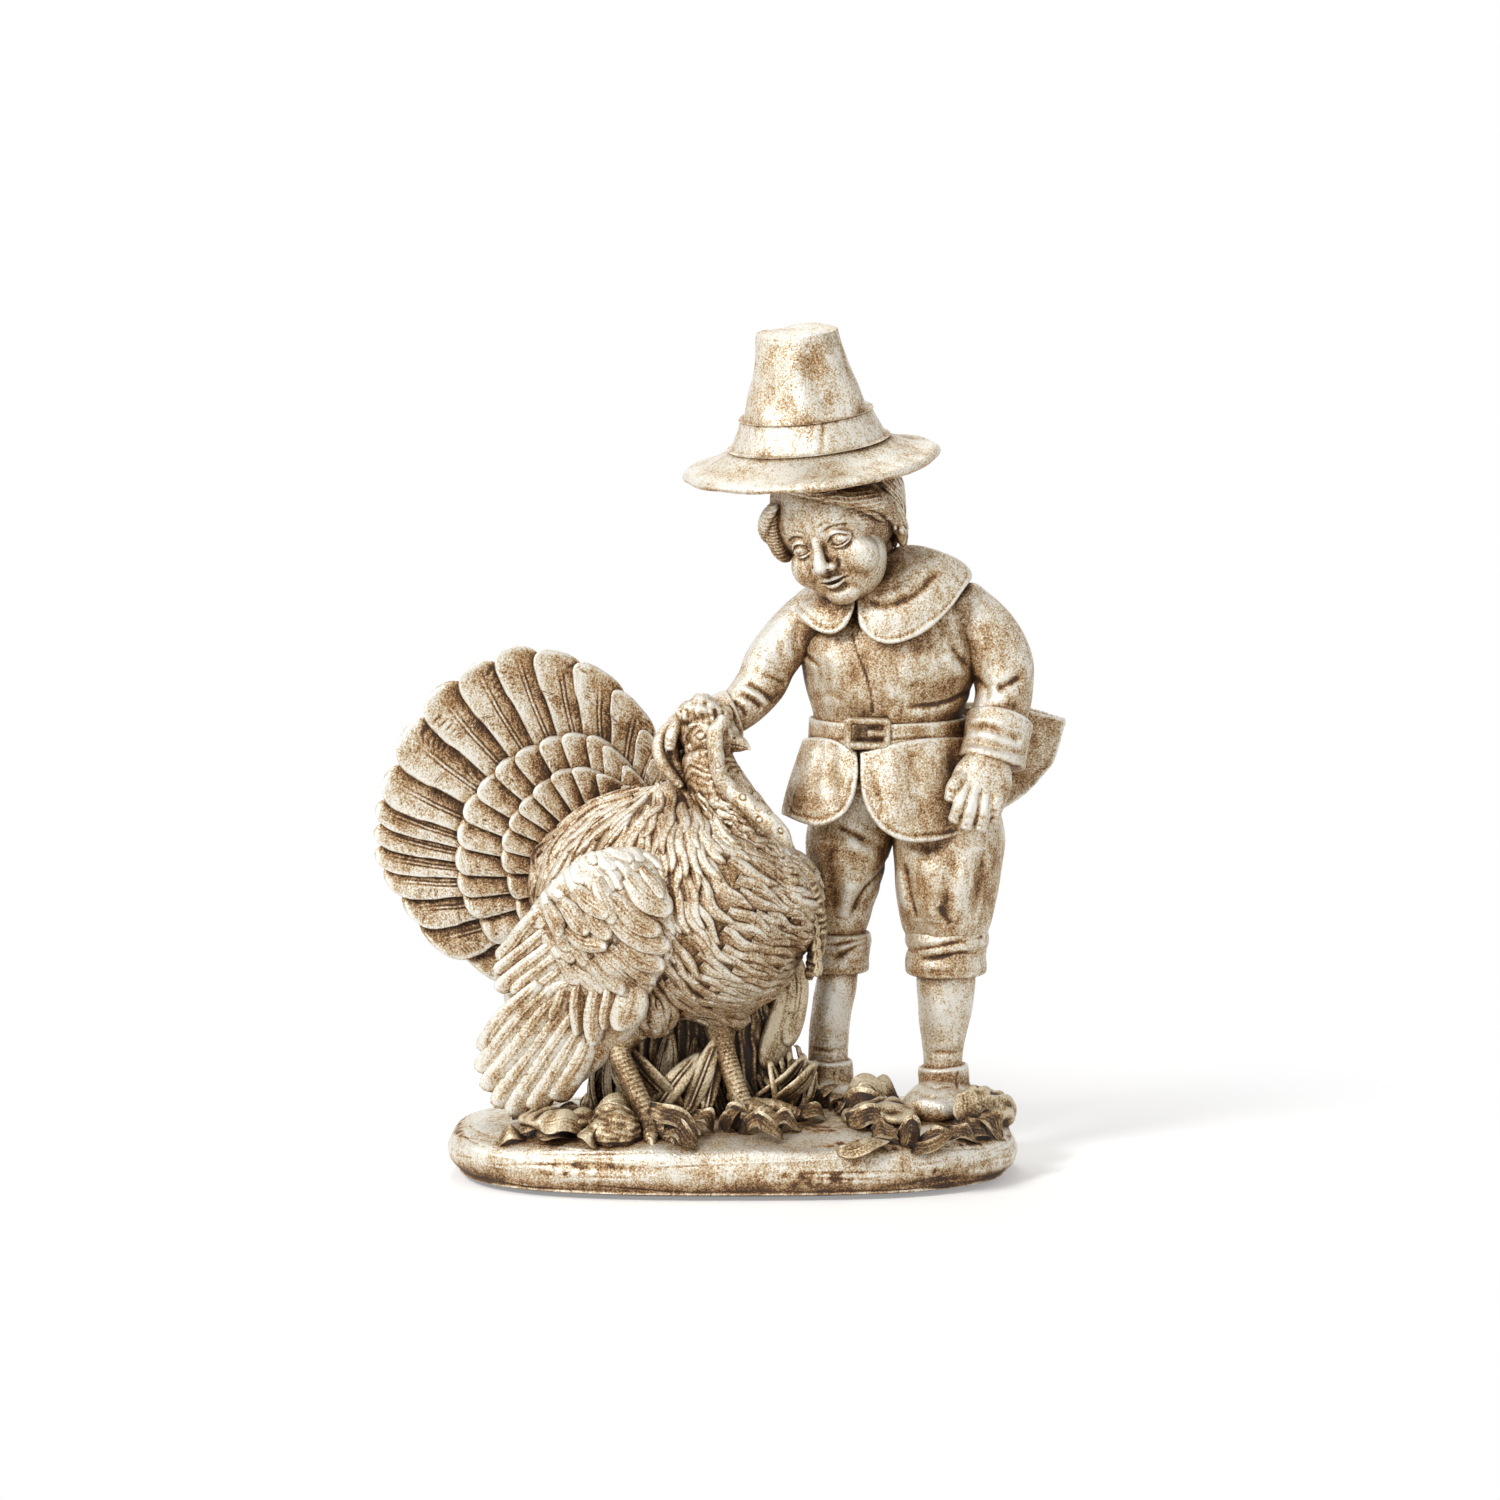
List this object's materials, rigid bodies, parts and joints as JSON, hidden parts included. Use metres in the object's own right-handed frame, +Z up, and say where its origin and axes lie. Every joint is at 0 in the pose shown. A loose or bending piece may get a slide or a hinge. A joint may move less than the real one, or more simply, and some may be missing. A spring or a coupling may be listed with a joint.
{
  "type": "turkey figurine",
  "caption": "Cast figurine of a boy in a tall brimmed hat, collar and belted doublet, who rests a hand on the nape of a turkey with a fanned tail, both standing on an oblong mound.",
  "frame": {"origin": "centre of the felt underside, which rests on the shelf", "axes": "+Z up, -Y towards the viewer in front, +X to the viewer's right, where the boy stands"},
  "size_m": [0.2055, 0.09, 0.2493],
  "materials": {
    "champagne_leaf": "cast resin with champagne-silver metal leaf, rubbed with a brown wash",
    "shaded_leaf": "the same leaf under a heavier brown wash",
    "felt": "pressed felt",
    "steel_wire": "bare wire, cast in"
  },
  "bodies": {
    "root": {"belt": "champagne_leaf", "belt_buckle": "champagne_leaf", "boy_hair": "champagne_leaf", "boy_head": "champagne_leaf", "boy_left_hand": "champagne_leaf", "boy_left_leg_wire": "steel_wire", "boy_neck": "champagne_leaf", "boy_right_hand": "champagne_leaf", "boy_right_leg_wire": "steel_wire", "breeches_left_leg": "champagne_leaf", "breeches_right_leg": "champagne_leaf", "doublet": "champagne_leaf", "doublet_left_sleeve": "champagne_leaf", "doublet_right_sleeve": "champagne_leaf", "felt_underside": "felt", "ground_base": "champagne_leaf", "hat_band": "champagne_leaf", "hat_brim": "champagne_leaf", "hat_crown": "champagne_leaf", "left_collar": "champagne_leaf", "left_knee_cuff": "champagne_leaf", "left_leaf_litter": "shaded_leaf", "left_shoe": "champagne_leaf", "left_sleeve_cuff": "champagne_leaf", "left_stocking": "champagne_leaf", "middle_grass_tuft": "shaded_leaf", "right_collar": "champagne_leaf", "right_grass_tuft": "shaded_leaf", "right_knee_cuff": "champagne_leaf", "right_leaf_litter": "shaded_leaf", "right_shoe": "champagne_leaf", "right_sleeve_cuff": "champagne_leaf", "right_stocking": "champagne_leaf", "shoe_leaf_litter": "shaded_leaf", "skirt_back_tail": "champagne_leaf", "skirt_left_lobe": "champagne_leaf", "skirt_right_lobe": "champagne_leaf", "stone": "shaded_leaf", "tail_inner_feathers": "champagne_leaf", "tail_middle_feathers": "champagne_leaf", "tail_outer_feathers": "champagne_leaf", "turkey_beak": "champagne_leaf", "turkey_beard": "shaded_leaf", "turkey_body": "champagne_leaf", "turkey_head": "champagne_leaf", "turkey_left_foot": "shaded_leaf", "turkey_left_leg": "shaded_leaf", "turkey_left_leg_wire": "steel_wire", "turkey_left_wing_coverts": "champagne_leaf", "turkey_left_wing_quills": "champagne_leaf", "turkey_neck": "champagne_leaf", "turkey_right_foot": "shaded_leaf", "turkey_right_leg": "shaded_leaf", "turkey_right_leg_wire": "steel_wire", "turkey_right_wing_coverts": "champagne_leaf", "turkey_right_wing_quills": "champagne_leaf", "turkey_snood": "champagne_leaf", "undergrowth": "shaded_leaf"}
  },
  "joints": []
}
